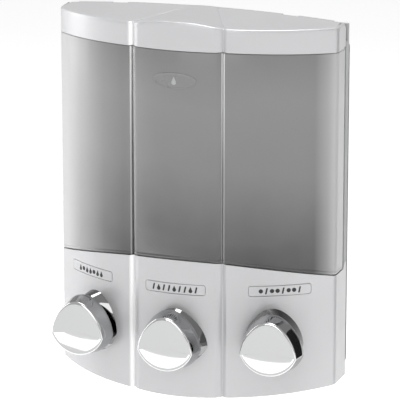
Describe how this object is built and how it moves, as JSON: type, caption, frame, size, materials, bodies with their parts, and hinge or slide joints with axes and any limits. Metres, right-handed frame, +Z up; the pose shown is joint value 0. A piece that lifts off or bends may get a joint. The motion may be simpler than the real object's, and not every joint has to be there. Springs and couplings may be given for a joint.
{
  "type": "wall mounted soap dispenser",
  "caption": "Wall mounted soap dispenser with three frosted containers side by side, a hinged lid and a chrome push button under each container.",
  "frame": {"origin": "middle of the four wall screws, on the wall's surface", "axes": "+Z up, +Y into the wall, +X to the right of a person who faces the dispenser"},
  "size_m": [0.215, 0.1, 0.2804],
  "materials": {
    "silver_plastic": "satin silver",
    "frosted_plastic": "frosted smoke",
    "chrome_plastic": "polished chrome plating",
    "dark_plastic": "moulded",
    "grey_plastic": "moulded",
    "pump_plastic": "moulded",
    "badge_plastic": "raised oval",
    "rubber": "moulded",
    "silicone": "clear silicone",
    "steel": "stainless"
  },
  "bodies": {
    "unit": {"wall_plate": "dark_plastic", "chassis": "grey_plastic", "pump_deck": "pump_plastic", "base_fascia": "silver_plastic", "base_floor": "silver_plastic", "hinge_pins": "steel", "badge": "badge_plastic", "deck_screws": "steel", "floor_screws": "steel", "container_left": "frosted_plastic", "container_middle": "frosted_plastic", "container_right": "frosted_plastic", "container_seal_left": "rubber", "container_seal_middle": "rubber", "container_seal_right": "rubber", "pump_body_left": "pump_plastic", "pump_body_middle": "pump_plastic", "pump_body_right": "pump_plastic", "inlet_valve_left": "silicone", "inlet_valve_middle": "silicone", "inlet_valve_right": "silicone", "outlet_valve_left": "silicone", "outlet_valve_middle": "silicone", "outlet_valve_right": "silicone", "nozzle_left": "grey_plastic", "nozzle_middle": "grey_plastic", "nozzle_right": "grey_plastic", "button_collar_left": "chrome_plastic", "button_collar_middle": "chrome_plastic", "button_collar_right": "chrome_plastic", "return_spring_left": "steel", "return_spring_middle": "steel", "return_spring_right": "steel", "label_left": "silver_plastic", "label_middle": "silver_plastic", "label_right": "silver_plastic"},
    "lid": {"lid": "silver_plastic"},
    "button_left": {"button_cap_left": "chrome_plastic", "plunger_left": "pump_plastic", "piston_seal_left": "rubber"},
    "button_middle": {"button_cap_middle": "chrome_plastic", "plunger_middle": "pump_plastic", "piston_seal_middle": "rubber"},
    "button_right": {"button_cap_right": "chrome_plastic", "plunger_right": "pump_plastic", "piston_seal_right": "rubber"}
  },
  "joints": [
    {"name": "lid_hinge", "type": "hinge", "parent": "unit", "child": "lid", "pos_m": [0, -0.0142, 0.1286], "axis": [-1, 0, 0], "range_deg": [0, 88]},
    {"name": "button_left_press", "type": "slide", "parent": "unit", "child": "button_left", "axis": [0.0698, 0.9976, 0], "range_m": [0, 0.0045], "stiffness_N_per_m": 400, "springref_m": -0.01, "deforming": ["return_spring_left"]},
    {"name": "button_middle_press", "type": "slide", "parent": "unit", "child": "button_middle", "axis": [0, 1, 0], "range_m": [0, 0.0045], "stiffness_N_per_m": 400, "springref_m": -0.01, "deforming": ["return_spring_middle"]},
    {"name": "button_right_press", "type": "slide", "parent": "unit", "child": "button_right", "axis": [-0.0698, 0.9976, 0], "range_m": [0, 0.0045], "stiffness_N_per_m": 400, "springref_m": -0.01, "deforming": ["return_spring_right"]}
  ]
}
